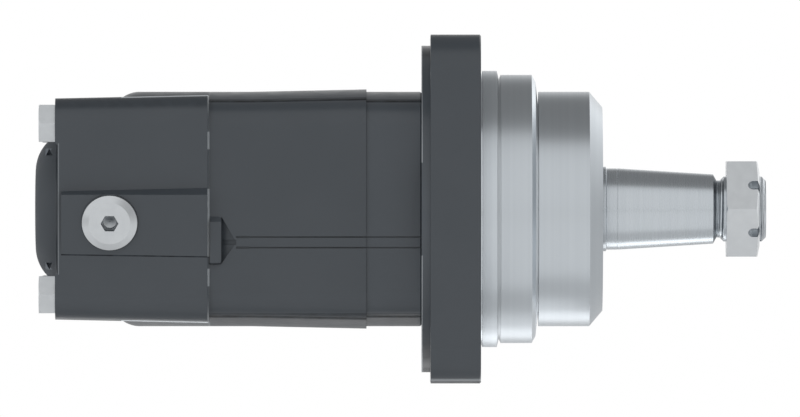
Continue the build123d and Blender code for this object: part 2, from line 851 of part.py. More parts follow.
def output_shaft():
    relief_radius = front_bore_radius - locking_relief
    middle_radius = front_bore_radius + bearing_relief
    thread_front = lock_nut_front + locking_relief
    root_start = taper_end + neck_chamfer
    root_end = thread_start - (thread_radius - thread_root_radius)
    body = turned([
        (shaft_rear, 0), (shaft_rear, shaft_flange_radius), (rear_cone_back, shaft_flange_radius),
        (rear_cone_back, rear_bore_radius), (rear_cup_front - 1, rear_bore_radius),
        (rear_cup_front + 1, middle_radius), (front_cup_rear, middle_radius),
        (front_cup_rear, front_bore_radius), (front_cone_front, front_bore_radius),
        (front_cone_front, relief_radius), (thread_front, relief_radius), (thread_front, collar_radius),
        (collar_end - collar_chamfer, collar_radius), (collar_end, shaft_radius), (taper_start, shaft_radius),
        (taper_end, taper_end_radius), (root_start, thread_root_radius), (root_end, thread_root_radius),
        (thread_start, thread_radius), (shaft_end - thread_chamfer, thread_radius),
        (shaft_end, thread_radius - thread_chamfer), (shaft_end, 0)])
    body -= tube(taper_start - taper_line, taper_start, shaft_radius + 1, shaft_radius - taper_line / 2)
    body -= link_bore()
    body -= key_blank(fit_gap)
    return body


def link_bore():
    reach = crown_half_length + spline_room
    spline_rear = front_crown_station - reach
    bore = rod(shaft_rear, spline_rear, link_room + spline_room)
    return bore + spline_socket(spline_rear, front_crown_station + reach)


def key_blank(gap=0.0):
    # Disc key set along the taper on the far side.
    middle = taper_start + taper_length / 2
    surface = shaft_radius - (middle - taper_start) / taper_ratio / 2
    centre_y = key_stand + (key_disc_radius - key_height)
    disc = extrude(Plane.XY.offset(-key_width / 2 - gap) * Pos(0, centre_y) * Circle(key_disc_radius + gap),
                   amount=key_width + 2 * gap)
    disc &= extrude(Plane.XY.offset(-key_width) * Pos(0, key_stand - 2 * key_disc_radius) *
                    Rectangle(4 * key_disc_radius, 4 * key_disc_radius), amount=2 * key_width)
    tilt = degrees(atan2(0.5, taper_ratio))
    return disc.rotate(Axis.Z, -tilt).moved(Location((middle, surface, 0)))


def shaft_nut():
    front = nut_rear + nut_height
    corner = nut_across_flats / 2 / cos(radians(30))
    face_radius = thread_radius + nut_face_wall
    body = hexagon(nut_rear, front, nut_across_flats)
    body &= turned([(nut_rear, 0), (nut_rear, corner - nut_back_chamfer),
                    (nut_rear + nut_back_chamfer / 2, corner), (front - nut_chamfer_length, corner),
                    (front, face_radius), (front, 0)])
    body -= rod(nut_rear, front, thread_radius + fit_gap)
    half = nut_slot_width / 2
    straight = nut_slot_depth - half
    slot = extrude(Plane.XY * Pos(front - straight, 0) * Circle(half), amount=corner)
    slot += extrude(Plane.XY * Pos(front, 0) * Rectangle(2 * straight, nut_slot_width), amount=corner)
    return body - around(6, slot)


# Shaft bearings

def bearing_sizes(bore, cup, width):
    middle_radius = (bore + cup) / 2
    roller_mean = bearing_roller_share * (cup - bore)
    angle = radians(bearing_angle)
    taper = asin(roller_mean * sin(angle) / middle_radius)
    length = bearing_length_share * width / cos(angle)
    return middle_radius, roller_mean, angle, taper, length


def bearing_line(sizes, middle_x, side, offset, reach):
    # Point on a line through the roller's side: offset is across it, reach along it.
    middle_radius, roller_mean, angle, taper, length = sizes
    slope = angle + taper * (1 if offset > 0 else -1)
    x = middle_x + side * (reach * cos(slope) - offset * sin(angle))
    r = middle_radius + reach * sin(slope) + offset * cos(angle)
    return (x, r)


def bearing_cone(bore, cup, width, small_end, side):
    sizes = bearing_sizes(bore, cup, width)
    middle_x = small_end + side * width / 2
    inner = -(sizes[1] + running_gap)
    reach = sizes[4] / 2 + bearing_race_margin
    small = bearing_line(sizes, middle_x, side, inner, -reach)
    large = bearing_line(sizes, middle_x, side, inner, reach)
    rib = large[1] + bearing_rib_share * sizes[1]
    big_end = small_end + side * width
    return turned([(small_end, bore), (small_end, small[1]), small, large, (large[0], rib), (big_end, rib),
                   (big_end, bore)])


def bearing_cup(bore, cup, width, small_end, side):
    sizes = bearing_sizes(bore, cup, width)
    middle_x = small_end + side * width / 2
    outer = sizes[1] + running_gap
    small = bearing_line(sizes, middle_x, side, outer, -sizes[4] / 2 - bearing_race_margin)
    large = bearing_line(sizes, middle_x, side, outer, sizes[4] / 2)
    return turned([(small_end, cup), (small_end, small[1]), small, large, (large[0], cup)])


def bearing_roller(bore, cup, width, small_end, side, gap=0.0):
    sizes = bearing_sizes(bore, cup, width)
    middle_radius, roller_mean, angle, taper, length = sizes
    half = length / 2 + gap
    small = roller_mean - half * tan(taper) + gap
    large = roller_mean + half * tan(taper) + gap
    outline = make_face(Polyline((-half, 0), (-half, small), (half, large), (half, 0), close=True))
    blank = revolve(Plane.XZ * outline, Axis.X)
    turn = degrees(angle)
    middle_x = small_end + side * width / 2
    blank = blank.rotate(Axis.Y, -turn if side > 0 else 180 + turn)
    return blank.moved(Location((middle_x, 0, middle_radius)))


def bearing_cage(count, bore, cup, width, small_end, side):
    sizes = bearing_sizes(bore, cup, width)
    middle_x = small_end + side * width / 2
    reach = sizes[4] / 2 + cage_margin
    low = [bearing_line(sizes, middle_x, side, -cage_skin, s * reach) for s in (-1, 1)]
    high = [bearing_line(sizes, middle_x, side, cage_skin, s * reach) for s in (1, -1)]
    window = bearing_roller(bore, cup, width, small_end, side, gap=cage_gap)
    return turned(low + high) - around(count, window)


def bearing_lock_nut():
    body = tube(front_cone_front, lock_nut_front, lock_nut_radius, front_bore_radius - locking_relief)
    middle = Pos((front_cone_front + lock_nut_front) / 2, 0)
    notch = extrude(Plane.XY.offset(lock_nut_radius - lock_nut_notch_depth) * middle *
                    Rectangle(lock_nut_length + 1, lock_nut_notch), amount=2 * lock_nut_notch_depth)
    return body - around(4, notch)


# Seal carrier and shaft seals

def seal_carrier():
    outer = front_cup_radius - fit_gap
    web_bore = collar_radius + carrier_web_gap
    return turned([
        (carrier_rear, outer), (carrier_rear, shaft_seal_radius), (web_rear, shaft_seal_radius),
        (web_rear, web_bore), (web_front, web_bore), (web_front, dust_seal_radius),
        (carrier_front, dust_seal_radius), (carrier_front, outer)])


def shaft_seal():
    # Rubber ring with a thick rim in the carrier and a lip that runs on the collar.
    lip = collar_radius + fit_gap
    back = lip + seal_lip_thickness
    lip_front = carrier_rear + 2 * seal_lip_thickness
    return turned([(carrier_rear, shaft_seal_radius), (carrier_rear, shaft_seal_radius - seal_rim),
                   (lip_front - seal_lip_thickness, back), (lip_front - seal_lip_thickness / 2, lip),
                   (lip_front, lip), (web_rear - seal_lip_thickness, back), (web_rear, back),
                   (web_rear, shaft_seal_radius)])


def dust_seal():
    # Scraper ring in front of the web, its lip at the nose.
    lip = collar_radius + fit_gap
    back = lip + seal_lip_thickness
    front = web_front + dust_seal_length
    return turned([(web_front, dust_seal_radius), (web_front, back), (front - seal_lip_thickness, back),
                   (front - seal_lip_thickness / 3, lip), (front, lip), (front, lip + seal_lip_thickness / 2),
                   (front - seal_lip_thickness, dust_seal_radius)])


def seal_retaining_ring():
    ring_outer = front_cup_radius + retaining_ring_depth - fit_gap
    ring = tube(carrier_front, retaining_ring_front, ring_outer, ring_outer - retaining_ring_width)
    gap = Rectangle(retaining_ring_opening, 3 * retaining_ring_width)
    opening = extrude(x_plane(carrier_front) * Pos(0, -ring_outer) * gap, amount=retaining_ring_thickness)
    return ring - opening


def bearing_nodes():
    rear = (rear_bore_radius, rear_cup_radius, rear_bearing_width, rear_cup_front, -1)
    front = (front_bore_radius, front_cup_radius, front_bearing_width, front_cup_rear, 1)
    nodes = {}
    for name, count, size in (("front", 14, front), ("rear", 15, rear)):
        nodes[name + "_bearing_cone"] = bearing_cone(*size)
        nodes[name + "_bearing_cup"] = bearing_cup(*size)
        nodes[name + "_bearing_rollers"] = Compound(children=around(count, bearing_roller(*size)))
        nodes[name + "_bearing_cage"] = bearing_cage(count, *size)
    return nodes


def drain_plug_nodes():
    seat = plug_plane()
    upright = Plane(seat.origin, x_dir=seat.x_dir, z_dir=-seat.y_dir)
    body = revolve(upright * plug_profile(), Axis(seat.origin, seat.z_dir))
    socket = extrude(plug_plane(-plug_head_height) * RegularPolygon(plug_socket / 2, 6, major_radius=False),
                     amount=-plug_socket_depth)
    socket_floor = plug_socket_depth - plug_head_height
    socket += extrude(plug_plane(socket_floor) * Circle(plug_drill_radius), amount=-plug_drill_depth)
    point = Cone(0, plug_drill_radius, plug_drill_point, align=(Align.CENTER, Align.CENTER, Align.MAX))
    socket += plug_plane(socket_floor + plug_drill_depth) * point
    ring = Circle(plug_head_radius - plug_seat_inset - fit_gap) - Circle(plug_stem_radius + fit_gap)
    washer = extrude(seat * ring, amount=fit_gap - plug_seal_thickness)
    return {"drain_plug": body - socket, "drain_plug_seal": washer}


def all_nodes():
    outer_seal, inner_seal = balance_seals()
    nodes = {
        "flange_housing": flange_housing(),
        "gear_ring": gear_ring(),
        "valve_housing": valve_housing(),
        "rear_housing": rear_housing(),
        "housing_bolts": housing_bolts(),
        "front_joint_seal": seal_groove(ring_front, 1),
        "middle_joint_seal": seal_groove(ring_rear, -1),
        "rear_joint_seal": seal_groove(valve_body_rear, 1),
        "wear_plate": tube(ring_front, wear_plate_front, plate_radius, link_room + link_core_step + link_gap),
        "manifold_plate": manifold_plate(),
        "manifold_dowels": Compound(children=dowels()),
        "rotary_valve": rotary_valve(),
        "valve_bush": valve_bush(),
        "balance_ring": balance_ring(),
        "balance_outer_seal": outer_seal,
        "balance_inner_seal": inner_seal,
        "balance_spring": balance_spring(),
        "rotor": rotor(),
        "rotor_bush": rotor_bush(),
        "drive_link": drive_link(),
        "output_shaft": output_shaft(),
        "shaft_key": key_blank(),
        "shaft_nut": shaft_nut(),
        "bearing_lock_nut": bearing_lock_nut(),
        "seal_carrier": seal_carrier(),
        "shaft_seal": shaft_seal(),
        "dust_seal": dust_seal(),
        "seal_retaining_ring": seal_retaining_ring(),
    }
    nodes.update(drain_plug_nodes())
    nodes.update(bearing_nodes())
    for index in range(roller_count):
        nodes["roller_" + str(index + 1)] = roller(index)
    return nodes


os.makedirs("parts", exist_ok=True)
for node_name, shape in all_nodes().items():
    export_step(shape, "parts/" + node_name + ".step")
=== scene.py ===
import json
import math
from functools import cached_property

import bpy
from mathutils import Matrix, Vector


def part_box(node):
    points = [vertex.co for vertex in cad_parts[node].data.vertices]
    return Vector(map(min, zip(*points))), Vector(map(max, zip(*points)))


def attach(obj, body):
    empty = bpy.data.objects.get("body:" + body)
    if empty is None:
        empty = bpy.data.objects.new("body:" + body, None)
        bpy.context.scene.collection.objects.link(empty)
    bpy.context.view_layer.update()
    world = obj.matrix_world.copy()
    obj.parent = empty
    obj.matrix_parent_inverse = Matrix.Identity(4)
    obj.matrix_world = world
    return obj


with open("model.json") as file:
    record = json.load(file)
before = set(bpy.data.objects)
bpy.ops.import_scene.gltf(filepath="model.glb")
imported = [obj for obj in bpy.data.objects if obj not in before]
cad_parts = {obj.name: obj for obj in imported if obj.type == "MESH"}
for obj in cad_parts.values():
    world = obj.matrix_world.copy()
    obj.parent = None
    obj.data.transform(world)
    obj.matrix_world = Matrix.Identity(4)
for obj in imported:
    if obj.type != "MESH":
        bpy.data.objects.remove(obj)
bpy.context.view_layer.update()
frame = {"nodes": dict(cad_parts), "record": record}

# Orbital hydraulic motor, in metres. Origin: centre of the flange's front face on the shaft axis.
# +X towards the shaft nut, +Z up. The camera stands on the near side and looks along +Y.

# Photograph's frame and scale, and how far before the shaft axis that scale holds
PHOTO_WIDTH = 800
PHOTO_HEIGHT = 417
METRES_PER_PIXEL = 0.000390
AXIS_PIXEL = 209.0
FLANGE_FACE_PIXEL = 480.5
LENS = 850.0
SENSOR = 36.0
SCALE_DEPTH = 0.015

# Places that the frame gives
MOUNTS = {mount["name"]: mount for mount in frame["record"]["mounts"]}
REAR_END, REAR_JOINT = (corner.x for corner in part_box("rear_housing"))
RING_REAR, RING_FRONT = (corner.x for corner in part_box("gear_ring"))
HOLE_OFFSET = MOUNTS["flange_holes"]["dims"]["pcd_mm"] / 2000 / math.sqrt(2)
PORT_NAMES = ("port_a", "port_b")

# Housings: half height of the box section at its ends, and its corners
BLOCK_TOP_REAR = 0.0430
BLOCK_TOP_FRONT = 0.0443
BOX_TOP = 0.0423
BOX_TOP_SWOLLEN = 0.04315
SWELL_START = -0.0895
NEAR_FACE = -0.0470
CORNER_RADIUS = 0.0098
CORNER_START = -NEAR_FACE - CORNER_RADIUS
BARREL_START = -0.1398

# Rear housing
DOME_HEIGHT = 0.0083
REAR_FACE = REAR_END + DOME_HEIGHT
CHANNEL_DEPTH = 0.0010
CHANNEL_FLOOR = REAR_FACE + CHANNEL_DEPTH
# Painted highlight at the channel's ends: its strip along X, and how far out and how high it reaches
CHANNEL_EDGE = (CHANNEL_FLOOR + 0.0002, CHANNEL_FLOOR + 0.0006)
CHANNEL_SIDE = 0.0474
CHANNEL_TOP = 0.0255
# Width of the painted highlight along the top edges
TOP_EDGE = 0.0004
# Band along the top of the rear block where shade is painted
TOP_BAND = (0.0385, 0.0400)
PAD_START = -0.1630
PAD_TOP = 0.0078
PAD_BOTTOM_REAR = -0.0176
PAD_BOTTOM_FRONT = -0.01845
# Line along the pad's lower edge where a shadow is painted
PAD_CREASE = (-0.0004, 0.0001)
# Pockets in the dome, where a highlight is painted
POCKET_ALONG = (-0.1697, -0.1667)
POCKET_DEPTH = 0.0150
POCKET_HEIGHT = (0.0207, 0.0236)
# Heights at the rear joint where the painted highlight is strongest
HIGHLIT_CORNER = (0.0232, 0.0300)
JOINT_EDGE = 0.0004
SPOTFACE_RADIUS = 0.01705
PORT_FINISH_DEPTH = 0.0300

# Valve housing
BOSS_FRONT = -0.1008
BOSS_FACE = -0.0465
# Line under the boss where a shadow is painted
BOSS_CREASE = (-0.0216, -0.0209)
# Recess beside the boss, where shade is painted
RECESS_ALONG = (BOSS_FRONT, -0.0950)
RECESS_DEPTH = (NEAR_FACE + 0.00005, NEAR_FACE + 0.0030)
RECESS_HEIGHT = (-0.0222, -0.0020)

# Creases under the barrel, where shade is painted: measured from the box section's top, and on the
# underside
CREASE = (-0.0009, 0.0)
CREASE_FADE = (0.0, 0.0005)
UNDERSIDE_START = -0.0405
UNDERSIDE = (-0.0450, -0.0430)

# Flange housing
FLANGE_BACK = -0.0195
# Low edge of the flange and the ends of the disc, where a highlight and shade are painted
FLANGE_LOW_EDGE = (-0.0668, -0.0658)
DISC_LOW_END = (-0.054, -0.050)
DISC_HIGH_END = (0.058, 0.060)
DISC_EDGE = 0.0004
DISC_EDGE_START = 0.018
BARE_RADIUS = 0.0545
PILOT_ROOT_END = 0.0007
PILOT_END = 0.0070
PILOT_GROOVE = (0.00645, 0.00785)
PILOT_CHAMFER = (0.0200, 0.0215)
NOSE_GROOVE = (0.0215, 0.0226)
HOLE_FINISH_RADIUS = 0.0073
SKIN = 0.0001

# How strongly painted highlights, drawn as paint worn to the metal, and painted shade are laid on these
# places, from 0 to 1
JOINT_HIGHLIGHT_STRENGTH = (0.15, 0.9)
VALVE_JOINT_HIGHLIGHT = 0.35
CHANNEL_HIGHLIGHT = 0.2
DISC_EDGE_HIGHLIGHT = 0.5
LOW_EDGE_HIGHLIGHT = 0.3
TOP_BAND_SHADE = 0.22
UNDERSIDE_SHADE = (0.3, 0.5)
CREASE_FADE_SHADE = 0.5
BOSS_CREASE_SHADE = 0.8
RECESS_SHADE = 0.25
DISC_END_SHADE = 0.5
FLANGE_UNDERSIDE_SHADE = 0.6

# Shaft, plug and threads
# Edge of the taper where the nut's dark reflection is painted
TAPER_EDGE = (0.0909, 0.0921)
NECK = (0.0921, 0.0951)
SHAFT_THREAD_START = 0.1080
SHAFT_THREAD_PITCH = 0.00127
SHAFT_THREAD_DEPTH = 0.0004
PLUG_PLACE = (-0.1441, -0.0051)
PLUG_SOCKET_RADIUS = 0.0037
PLUG_DRILL_RADIUS = 0.0025
PLUG_SOCKET_MOUTH = -0.0528
# Strength of the painted highlight on the socket's drilled floor
PLUG_DRILL_BRIGHT = 0.6
PORT_THREAD_START = 0.0015
PORT_THREAD_LENGTH = 0.0130
PORT_THREAD_PITCH = 0.0018
PORT_THREAD_HEIGHT = 0.0007
PORT_THREAD_SINK = 0.0001
PORT_THREAD_FLANK = 0.42
PORT_THREAD_STEPS = 36

# Scales of the noise, per metre, and the share of its finer detail
TONE_SCALE = 38.0
GRAIN_SCALE = 850.0
TURNING_SCALE = 2600.0
NOISE_ROUGHNESS = 0.55
# Weight of the distance across in the turning lines, whose weight along X is 1
TURNING_SLANT = 1.37
# Rounding that the surfaces show on their edges
EDGE_RADIUS = 0.00012
BEVEL_SAMPLES = 4

# Colours: the darker and the lighter tone of each finish
PAINT = ((0.0535, 0.064, 0.0755), (0.0575, 0.068, 0.080))
# Painted shade: the dark paint that is laid on where shade falls
SHADE_PAINT = ((0.014, 0.016, 0.019), PAINT[0])
MATT_PAINT = ((0.086, 0.096, 0.108), (0.091, 0.102, 0.114))
STEEL = ((0.555, 0.595, 0.63), (0.58, 0.62, 0.655))
# Painted highlights: bare metal tones laid on edges and joints as paint worn to the metal
WORN_HIGHLIGHT = (STEEL[0], (0.62, 0.66, 0.69))
# Painted shade on steel: the dark tones laid on where steel sees shade
SHADE_STEEL = ((0.22, 0.235, 0.25), (0.28, 0.30, 0.32))
PLATED = ((0.58, 0.605, 0.625), (0.61, 0.635, 0.655))
BRONZE = ((0.40, 0.25, 0.10), (0.50, 0.32, 0.14))
COPPER = ((0.50, 0.21, 0.11), (0.60, 0.28, 0.16))
RUBBER = ((0.016, 0.016, 0.017), (0.028, 0.028, 0.030))
PAPER = ((0.82, 0.82, 0.82), (0.85, 0.85, 0.85))

# Roughness of the machined faces, from the smoothest to the roughest cut
GROUND = (0.25, 0.29)
TURNED = (0.30, 0.34)
FINE_TURNED = (0.16, 0.20)
POLISHED = (0.12, 0.16)
BORED = (0.34, 0.40)

# Brightness of the studio round the shaft axis: degrees up from the camera, then strength
STUDIO = ((-180, 1.0), (-120, 0.9), (53, 0.9), (66, 0.83), (73, 0.26), (136, 0.26), (148, 0.45),
          (158, 0.75), (168, 1.0), (180, 1.0))
# Brightness ahead of the shaft, straight ahead and towards the far side, and the part of a
# direction along the shaft over which it sets in
AHEAD = (0.56, 1.55)
AHEAD_FADE = (0.25, 0.5)
# Part of a direction along the shaft over which plain white sets in behind the rear housing
BEHIND_FADE = (-0.9, -0.97)

FLOOR_HEIGHT = -0.125
FLOOR_RADIUS = 2.4
FLOOR_SIDES = 96
FLOOR_GLOW = 0.3
LAMP_HEIGHT = FLOOR_HEIGHT + 0.001
# Power of an area lamp for each unit of its area and radiance
LAMP_POWER = 4
# Lamps just above the floor, facing up: name, middle and size along X and Y, and radiance
LAMPS = (
    ("front_panel", (-0.05, -0.636), (0.9, 1.128), 0.2),
    ("shaft_panel", (0.090, -0.062), (0.08, 0.02), 0.2),
    ("rear_strip", (-0.225, 0.066), (0.55, 0.068), 0.85),
    ("shaft_strip", (0.090, 0.070), (0.08, 0.060), 1.2),
    ("pilot_strip", (0.010, 0.010), (0.06, 0.05), 0.3),
    ("flange_strip", (-0.02, 0.011), (0.045, 0.03), 1.0),
)


class Nodes:
    """One node tree, emptied, and short calls that add nodes to it."""

    def __init__(self, tree):
        self.tree = tree
        tree.nodes.clear()

    def add(self, kind, **settings):
        made = self.tree.nodes.new(kind)
        for name, value in settings.items():
            setattr(made, name, value)
        return made

    def link(self, source, target):
        self.tree.links.new(source, target)

    def coordinates(self, kind):
        return self.add("ShaderNodeTexCoord").outputs[kind]

    def split(self, vector):
        made = self.add("ShaderNodeSeparateXYZ")
        self.link(vector, made.inputs[0])
        return made.outputs

    def math(self, operation, first, second=None):
        made = self.add("ShaderNodeMath", operation=operation)
        for index, value in enumerate((first, second)):
            if value is None:
                continue
            if isinstance(value, (int, float)):
                made.inputs[index].default_value = value
            else:
                self.link(value, made.inputs[index])
        return made.outputs[0]

    def times(self, first, second):
        return self.math("MULTIPLY", first, second)

    def minus(self, first, second):
        return self.math("SUBTRACT", first, second)

    def reach(self, value):
        return self.math("ABSOLUTE", value)

    def above(self, value, limit):
        return self.math("GREATER_THAN", value, limit)

    def below(self, value, limit):
        return self.math("LESS_THAN", value, limit)

    def within(self, value, low, high):
        return self.times(self.above(value, low), self.below(value, high))

    def distance(self, first, second):
        return self.math("SQRT", self.math("ADD", self.times(first, first), self.times(second, second)))

    def both(self, *masks):
        made = masks[0]
        for mask in masks[1:]:
            made = self.times(made, mask)
        return made

    def any_of(self, *masks):
        made = masks[0]
        for mask in masks[1:]:
            made = self.math("MAXIMUM", made, mask)
        return made

    def span(self, value, low, high, start=0.35, end=0.65, **settings):
        """Low at start and high at end, or the values between."""
        made = self.add("ShaderNodeMapRange", **settings)
        made.inputs["From Min"].default_value = start
        made.inputs["From Max"].default_value = end
        made.inputs["To Min"].default_value = low
        made.inputs["To Max"].default_value = high
        self.link(value, made.inputs["Value"])
        return made.outputs["Result"]

    def noise(self, scale, detail=3.0):
        made = self.add("ShaderNodeTexNoise")
        made.inputs["Scale"].default_value = scale
        made.inputs["Detail"].default_value = detail
        made.inputs["Roughness"].default_value = NOISE_ROUGHNESS
        self.link(self.coordinates("Object"), made.inputs["Vector"])
        return made.outputs["Fac"]

    def lines(self, value, scale):
        made = self.add("ShaderNodeTexNoise", noise_dimensions="1D")
        made.inputs["Scale"].default_value = scale
        made.inputs["Detail"].default_value = 2.0
        self.link(value, made.inputs["W"])
        return made.outputs["Fac"]

    def ramp(self, value, stops):
        """A colour for each position, and the colours between."""
        made = self.add("ShaderNodeValToRGB")
        elements = made.color_ramp.elements
        while len(elements) < len(stops):
            elements.new(0.5)
        for element, (position, colour) in zip(elements, stops):
            element.position = position
            element.color = (*colour, 1)
        self.link(value, made.inputs[0])
        return made.outputs["Color"]

    def tones(self, value, colours, start=0.35, end=0.65, lightness=1.0):
        dark, light = ([part * lightness for part in colour] for colour in colours)
        return self.ramp(value, ((start, dark), (end, light)))

    def bump(self, height, strength, distance, normal):
        made = self.add("ShaderNodeBump")
        made.inputs["Strength"].default_value = strength
        made.inputs["Distance"].default_value = distance
        self.link(height, made.inputs["Height"])
        self.link(normal, made.inputs["Normal"])
        return made.outputs[0]

    def relief(self, height, strength, distance):
        """Bump on the surface with its edges rounded."""
        rounding = self.add("ShaderNodeBevel", samples=BEVEL_SAMPLES)
        rounding.inputs["Radius"].default_value = EDGE_RADIUS
        return self.bump(height, strength, distance, rounding.outputs[0])

    def surface(self, colour, roughness, normal, metallic=0.0, specular=0.5):
        made = self.add("ShaderNodeBsdfPrincipled")
        made.inputs["Metallic"].default_value = metallic
        made.inputs["Specular IOR Level"].default_value = specular
        self.link(colour, made.inputs["Base Color"])
        self.link(roughness, made.inputs["Roughness"])
        self.link(normal, made.inputs["Normal"])
        return made.outputs[0]

    def mixed(self, mask, below, above):
        """The shader above where the mask is 1, and the one below where it is 0."""
        made = self.add("ShaderNodeMixShader")
        self.link(mask, made.inputs[0])
        self.link(below, made.inputs[1])
        self.link(above, made.inputs[2])
        return made.outputs[0]

    def blended(self, factor, first, second):
        """The second colour where the factor is 1, and the first where it is 0."""
        made = self.add("ShaderNodeMix", data_type="RGBA")
        self.link(factor, made.inputs["Factor"])
        self.link(first, made.inputs["A"])
        if isinstance(second, tuple):
            made.inputs["B"].default_value = second
        else:
            self.link(second, made.inputs["B"])
        return made.outputs["Result"]


class Finish(Nodes):
    """A new material, with the places on the object that its masks start from."""

    def __init__(self, name):
        self.material = bpy.data.materials.new(name)
        self.material.use_nodes = True
        super().__init__(self.material.node_tree)

    @cached_property
    def place(self):
        return self.split(self.coordinates("Object"))

    @property
    def x(self):
        return self.place["X"]

    @property
    def y(self):
        return self.place["Y"]

    @property
    def z(self):
        return self.place["Z"]

    @cached_property
    def height(self):
        return self.reach(self.z)

    @cached_property
    def radius(self):
        return self.distance(self.y, self.z)

    def away_from(self, x, z):
        return self.distance(self.minus(self.x, x), self.minus(self.z, z))

    def done(self, shader):
        self.link(shader, self.add("ShaderNodeOutputMaterial").inputs["Surface"])
        return self.material


# Surfaces

def cast_skin(s, detail=3.0):
    return s.relief(s.noise(GRAIN_SCALE, detail), 0.06, 0.00006)


def paint_surface(s, smoothest=0.29, lightness=1.0):
    colour = s.tones(s.noise(TONE_SCALE), PAINT, lightness=lightness)
    roughness = s.span(s.noise(TONE_SCALE * 4), smoothest, smoothest + 0.06)
    return s.surface(colour, roughness, cast_skin(s, detail=4.0))


def shade_surface(s):
    """Thick, matt, dark paint, laid on as painted shade in creases, recesses, on undersides and along
    upward-facing bands.
    """
    colour = s.tones(s.noise(TONE_SCALE * 8), SHADE_PAINT, 0.35, 0.9)
    roughness = s.span(s.noise(TONE_SCALE * 4), 0.6, 0.7)
    return s.surface(colour, roughness, cast_skin(s), specular=0.15)


def matt_surface(s, lightness=1.0):
    """Rough cast skin under thin paint."""
    colour = s.tones(s.noise(TONE_SCALE), MATT_PAINT, lightness=lightness)
    roughness = s.span(s.noise(TONE_SCALE * 4), 0.6, 0.7)
    return s.surface(colour, roughness, cast_skin(s), specular=0.12)


def worn_highlight_surface(s):
    """Paint worn to the metal, laid on as painted highlights along edges and joints."""
    tone = s.noise(TONE_SCALE)
    colour = s.tones(tone, WORN_HIGHLIGHT, 0.2, 0.5)
    return s.surface(colour, s.span(tone, 0.45, 0.5), s.relief(tone, 0.02, 0.00001), metallic=0.7)


def turned_surface(s, across, roughness, lightness=1.0, ridges=None):
    """Steel with the fine lines of a turning tool, which follow X and the distance across."""
    along = s.math("ADD", s.x, s.times(across, TURNING_SLANT))
    cuts = s.lines(along, TURNING_SCALE)
    colour = s.tones(s.lines(along, TURNING_SCALE / 6), STEEL, 0.2, 0.8, lightness)
    normal = s.relief(cuts, 0.012, 0.00002)
    if ridges:
        normal = s.bump(ridges, 1.0, SHAFT_THREAD_DEPTH, normal)
    return s.surface(colour, s.span(cuts, *roughness), normal, metallic=1.0)


def groove_surface(s, lightness):
    """Rough steel in the narrow turned grooves, shaded as their rounded bottoms."""
    outwards = s.add("ShaderNodeCombineXYZ")
    s.link(s.y, outwards.inputs["Y"])
    s.link(s.z, outwards.inputs["Z"])
    turned = s.add("ShaderNodeVectorTransform", vector_type="NORMAL", convert_from="OBJECT",
                   convert_to="WORLD")
    s.link(outwards.outputs[0], turned.inputs[0])
    colour = s.tones(s.lines(s.x, TURNING_SCALE), STEEL, lightness=lightness)
    roughness = s.span(s.noise(GRAIN_SCALE), 0.3, 0.36)
    return s.surface(colour, roughness, turned.outputs[0], metallic=1.0)


def grained_surface(s, colours, tone_scale, roughness, roughness_scale, grain, metallic=1.0):
    """Two tones and a fine grain, given as its scale, strength and depth."""
    grain_scale, strength, depth = grain
    colour = s.tones(s.noise(tone_scale), colours)
    normal = s.relief(s.noise(grain_scale), strength, depth)
    return s.surface(colour, s.span(s.noise(roughness_scale), *roughness), normal, metallic)


def shade_steel_surface(s):
    """Dark steel, laid on as painted shade where steel faces dark, shaded surroundings."""
    return grained_surface(s, SHADE_STEEL, tone_scale=400.0, roughness=(0.3, 0.4), roughness_scale=900.0,
                           grain=(900.0, 0.03, 0.00002))


def plated_surface(s):
    return grained_surface(s, PLATED, tone_scale=240.0, roughness=(0.28, 0.32), roughness_scale=400.0,
                           grain=(900.0, 0.02, 0.00002))


# Materials

def cast_paint():
    s = Finish("cast_paint")
    return s.done(paint_surface(s))


def joint_highlight(s):
    """How strongly the painted highlight at the rear joint is laid on, drawn as paint worn to the
    metal, most beside the pad and the corners.
    """
    highlit = s.any_of(s.within(s.height, *HIGHLIT_CORNER), s.within(s.z, PAD_BOTTOM_FRONT, PAD_TOP))
    return s.span(highlit, *JOINT_HIGHLIGHT_STRENGTH, 0, 1)


def rear_highlights(s):
    """Painted highlights, drawn as paint worn to the metal, on the top edges, the joint and the
    channel's ends.
    """
    top = s.span(s.x, BLOCK_TOP_REAR, BLOCK_TOP_FRONT, REAR_FACE, REAR_JOINT)
    top_edge = s.both(s.above(s.reach(s.y), CORNER_START), s.above(s.minus(s.height, top), -TOP_EDGE),
                      s.above(s.x, BARREL_START))
    joint_edge = s.both(s.above(s.x, REAR_JOINT - JOINT_EDGE), joint_highlight(s))
    channel_edge = s.both(s.within(s.x, *CHANNEL_EDGE), s.above(s.reach(s.y), CHANNEL_SIDE),
                          s.below(s.height, CHANNEL_TOP))
    return s.any_of(top_edge, joint_edge, s.times(channel_edge, CHANNEL_HIGHLIGHT))


